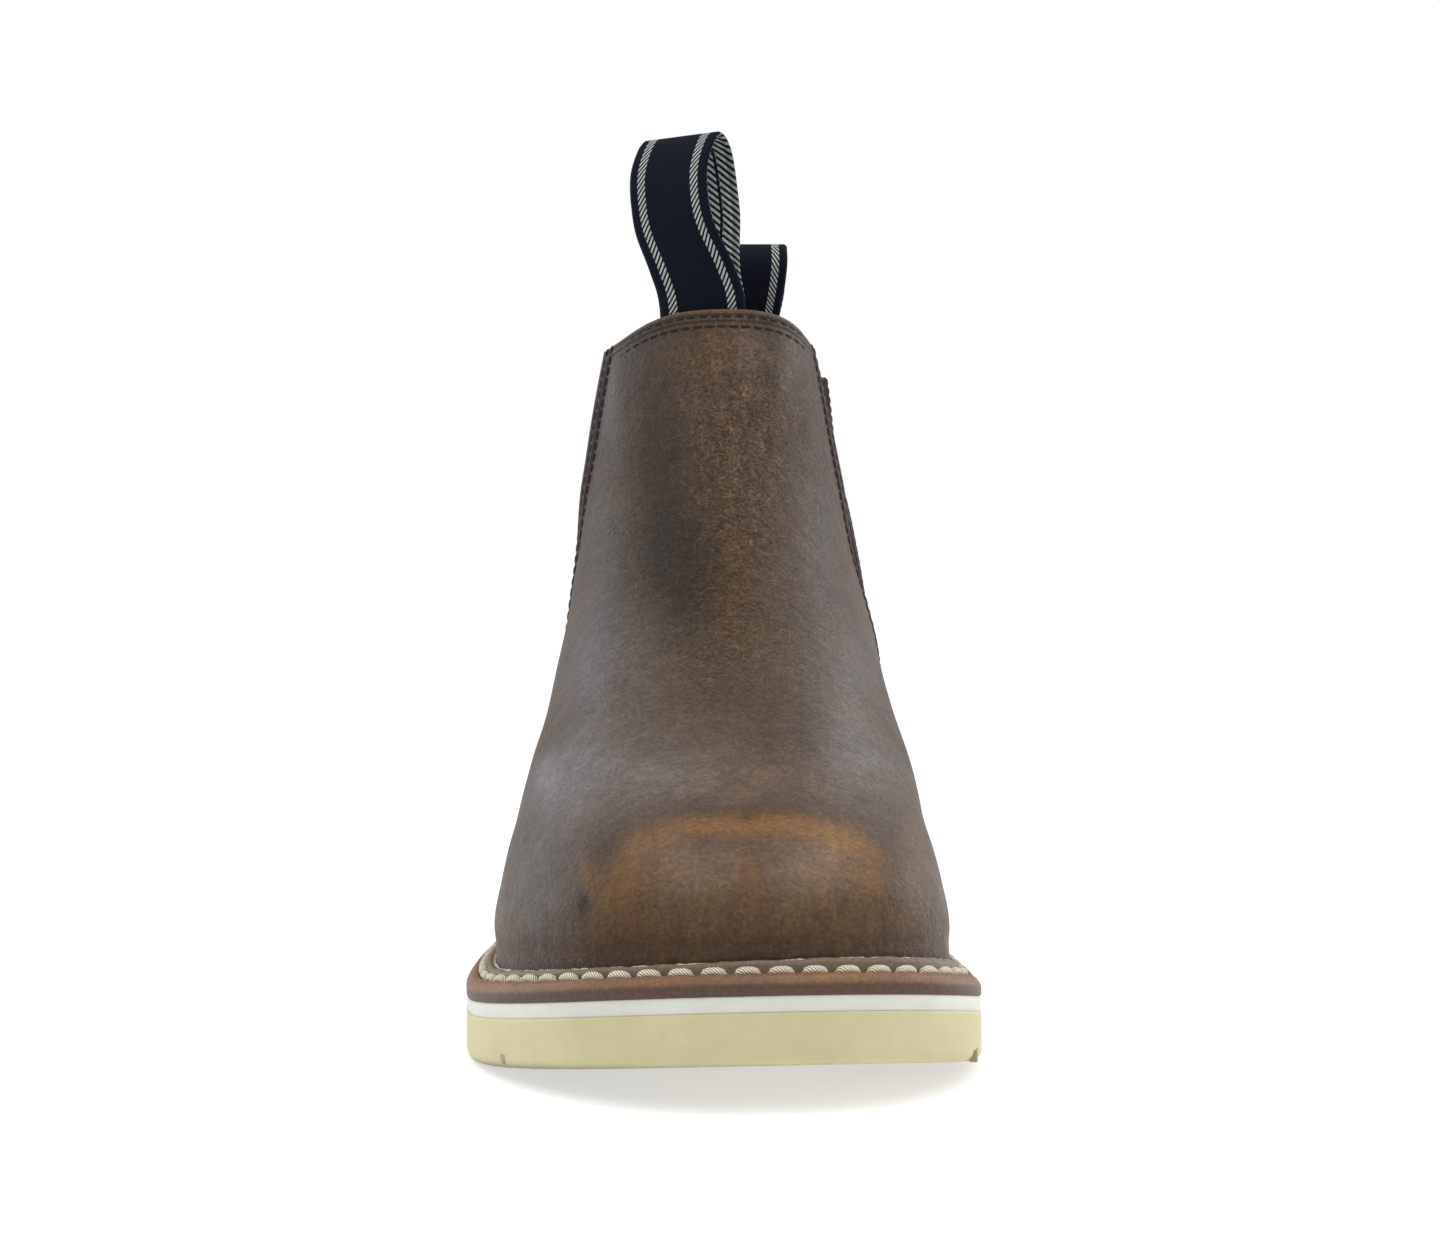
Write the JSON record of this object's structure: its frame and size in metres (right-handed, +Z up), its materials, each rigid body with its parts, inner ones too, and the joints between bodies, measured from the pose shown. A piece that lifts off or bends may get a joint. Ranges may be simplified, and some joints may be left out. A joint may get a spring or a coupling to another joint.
{
  "type": "work boot",
  "caption": "Right pull-on leather work boot with elastic side gores, storm welt, wedge sole and webbing pull loops.",
  "frame": {"origin": "centre of the bounding box at the ground under the sole", "axes": "+Z up, +Y from the toe to the heel, +X towards the inner side of the right foot"},
  "size_m": [0.1104, 0.302, 0.2349],
  "materials": {
    "leather": "oiled brown leather with a pulled-up sheen",
    "welt_leather": "waxed brown welt",
    "off_white": "matt off-white foam",
    "cream": "matt cream blown rubber",
    "elastic": "ribbed dark elastic",
    "footbed": "matt lined footbed",
    "webbing": "twill webbing with two pale stripes"
  },
  "bodies": {
    "root": {"outsole": "cream", "midsole": "off_white", "welt": "welt_leather", "insole": "footbed", "upper": "leather", "gore_lateral": "elastic", "gore_medial": "elastic", "pull_loop_front": "webbing", "pull_loop_back": "webbing"}
  },
  "joints": []
}
